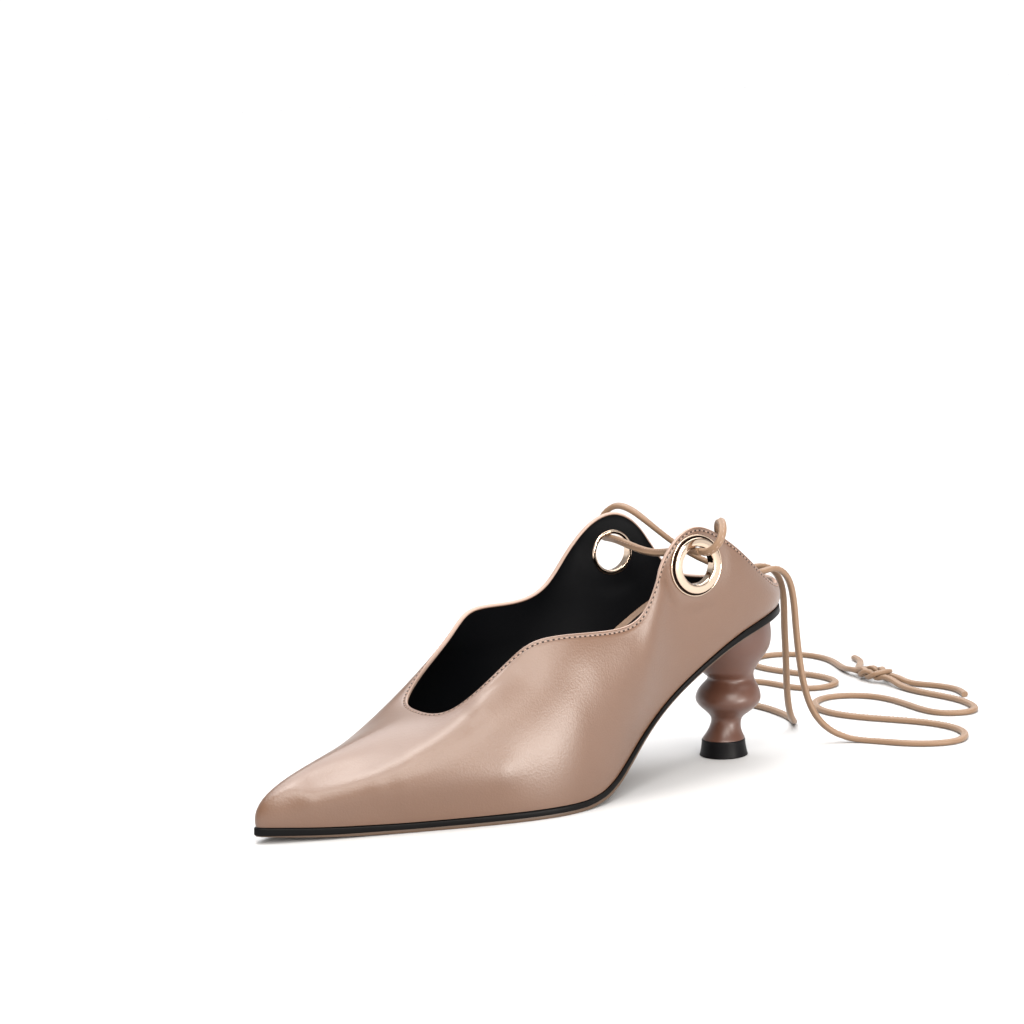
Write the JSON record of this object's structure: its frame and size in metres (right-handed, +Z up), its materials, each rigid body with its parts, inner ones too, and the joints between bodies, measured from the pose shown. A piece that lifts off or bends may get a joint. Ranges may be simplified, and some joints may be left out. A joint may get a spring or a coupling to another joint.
{
  "type": "lace-up heel",
  "caption": "Women's pointed-toe lace-up heel for the left foot: nude leather, wavy open topline, big eyelets in its ears, long tie laces and a turned sculpted heel.",
  "frame": {"origin": "centre of the heel tip's flat foot, on the floor", "axes": "-Y points to the toe, +X to the outer (lateral) side of this left shoe, +Z up"},
  "size_m": [0.1894, 0.3683, 0.103],
  "materials": {
    "upper_leather": "smooth semi-gloss nude leather, black lining",
    "insole_leather": "matt black leather",
    "sole_rubber": "satin black edge over a brown tread",
    "heel_lacquer": "nude lacquered turned heel",
    "tip_rubber": "black top piece",
    "eyelet_metal": "polished pale rose gold",
    "lace_leather": "narrow folded leather strip"
  },
  "bodies": {
    "root": {"outsole": "sole_rubber", "insole": "insole_leather", "upper": "upper_leather", "heel": "heel_lacquer", "heel_tip": "tip_rubber", "eyelet_lateral": "eyelet_metal", "eyelet_medial": "eyelet_metal", "lace_bar": "lace_leather", "tie_lateral": "lace_leather", "tie_medial": "lace_leather", "knot": "lace_leather", "tail_lateral": "lace_leather", "tail_medial": "lace_leather"}
  },
  "joints": []
}
